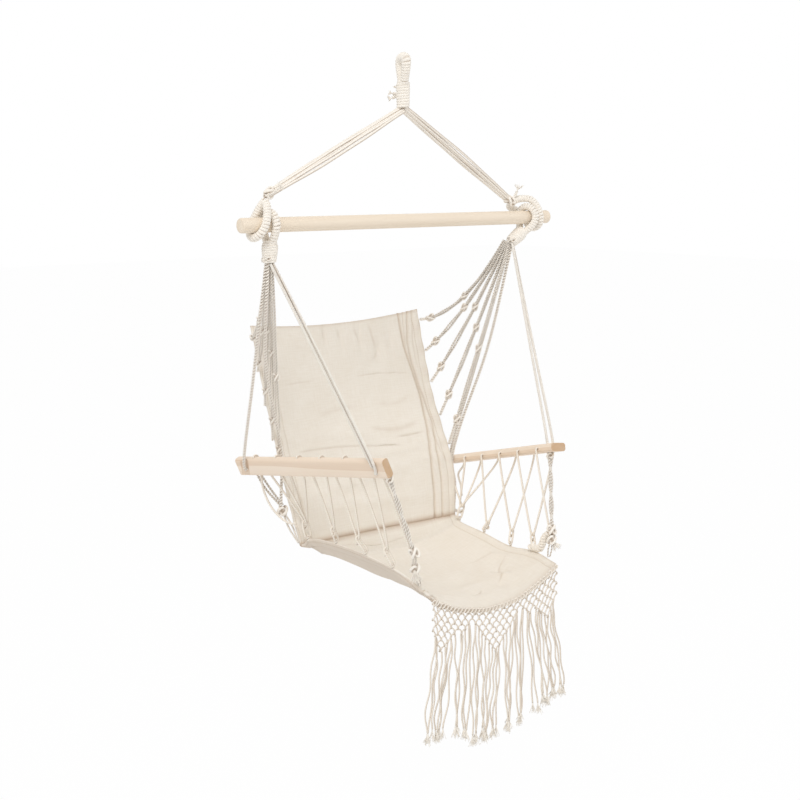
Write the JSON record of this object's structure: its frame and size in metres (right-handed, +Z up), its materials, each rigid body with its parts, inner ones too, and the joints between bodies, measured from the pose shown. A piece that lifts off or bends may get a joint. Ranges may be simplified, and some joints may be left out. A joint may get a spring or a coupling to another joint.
{
  "type": "hammock chair",
  "caption": "Hanging hammock chair of canvas slung on white cotton cord from a round wooden spreader bar, with wooden armrests, roped side nets and a knotted fringe",
  "frame": {"origin": "the point where the hanging loop bears on its hook, at the top of the loop's eye", "axes": "+Z up, the sitter faces -Y, +X to the sitter's left"},
  "size_m": [0.8, 0.504, 1.3267],
  "materials": {
    "cotton_cord": "matte twisted cotton",
    "canvas": "plain woven natural canvas",
    "bar_wood": "smooth satin, pale",
    "armrest_wood": "smooth satin, pinkish pine"
  },
  "bodies": {
    "hanger": {"hanging_loop": "cotton_cord"},
    "neck": {"loop_neck": "cotton_cord", "loop_knot": "cotton_cord"},
    "suspension": {"right_upper_bundle": "cotton_cord", "right_upper_knot": "cotton_cord", "right_upper_eye": "cotton_cord", "left_upper_bundle": "cotton_cord", "left_upper_knot": "cotton_cord", "left_upper_eye": "cotton_cord"},
    "bar": {"spreader_bar": "bar_wood"},
    "seat": {"right_lower_eye": "cotton_cord", "right_lower_neck": "cotton_cord", "right_front_cord_outer": "cotton_cord", "right_front_cord_inner": "cotton_cord", "right_rear_cord": "cotton_cord", "right_rear_stay": "cotton_cord", "right_back_cord_1": "cotton_cord", "right_back_cord_2": "cotton_cord", "right_back_cord_3": "cotton_cord", "right_back_cord_4": "cotton_cord", "right_back_cord_5": "cotton_cord", "right_front_rope": "cotton_cord", "right_corner_knot": "cotton_cord", "right_rear_rope": "cotton_cord", "right_rear_knot": "cotton_cord", "right_side_cord": "cotton_cord", "right_seat_loop_1": "cotton_cord", "right_seat_loop_2": "cotton_cord", "right_seat_loop_3": "cotton_cord", "right_seat_loop_4": "cotton_cord", "left_lower_eye": "cotton_cord", "left_lower_neck": "cotton_cord", "left_front_cord_outer": "cotton_cord", "left_front_cord_inner": "cotton_cord", "left_rear_cord": "cotton_cord", "left_rear_stay": "cotton_cord", "left_back_cord_1": "cotton_cord", "left_back_cord_2": "cotton_cord", "left_back_cord_3": "cotton_cord", "left_back_cord_4": "cotton_cord", "left_back_cord_5": "cotton_cord", "left_front_rope": "cotton_cord", "left_corner_knot": "cotton_cord", "left_rear_rope": "cotton_cord", "left_rear_knot": "cotton_cord", "left_side_cord": "cotton_cord", "left_seat_loop_1": "cotton_cord", "left_seat_loop_2": "cotton_cord", "left_seat_loop_3": "cotton_cord", "left_seat_loop_4": "cotton_cord", "back_panel": "canvas", "seat_panel": "canvas", "fringe": "cotton_cord"},
    "right_arm": {"right_armrest": "armrest_wood", "right_under_knot": "cotton_cord"},
    "left_arm": {"left_armrest": "armrest_wood", "left_under_knot": "cotton_cord"}
  },
  "joints": [
    {"name": "chair_turn", "type": "hinge", "parent": "hanger", "child": "neck", "pos_m": [0, 0, -0.048], "axis": [0, 0, 1], "range_deg": [-90, 90]},
    {"name": "chair_swing", "type": "hinge", "parent": "neck", "child": "suspension", "pos_m": [0, 0, -0.104], "axis": [1, 0, 0], "range_deg": [-30, 30]},
    {"name": "bar_turn", "type": "hinge", "parent": "suspension", "child": "bar", "pos_m": [0.011, 0, -0.308], "axis": [1, 0, 0], "continuous": true},
    {"name": "seat_swing", "type": "hinge", "parent": "suspension", "child": "seat", "pos_m": [0.011, 0, -0.308], "axis": [1, 0, 0], "range_deg": [-30, 30]},
    {"name": "right_armrest_roll", "type": "hinge", "parent": "seat", "child": "right_arm", "pos_m": [-0.25754, -0.0292, -0.76841], "axis": [-0.1432, 0.9815, -0.1271], "range_deg": [-8, 42], "deforming": ["right_front_cord_outer", "right_front_cord_inner", "right_rear_cord", "right_side_cord", "right_front_rope", "right_rear_rope"]},
    {"name": "left_armrest_roll", "type": "hinge", "parent": "seat", "child": "left_arm", "pos_m": [0.24342, -0.02761, -0.80963], "axis": [0.0881, 0.968, -0.2351], "range_deg": [-8, 42], "deforming": ["left_front_cord_outer", "left_front_cord_inner", "left_rear_cord", "left_side_cord", "left_front_rope", "left_rear_rope"]}
  ]
}
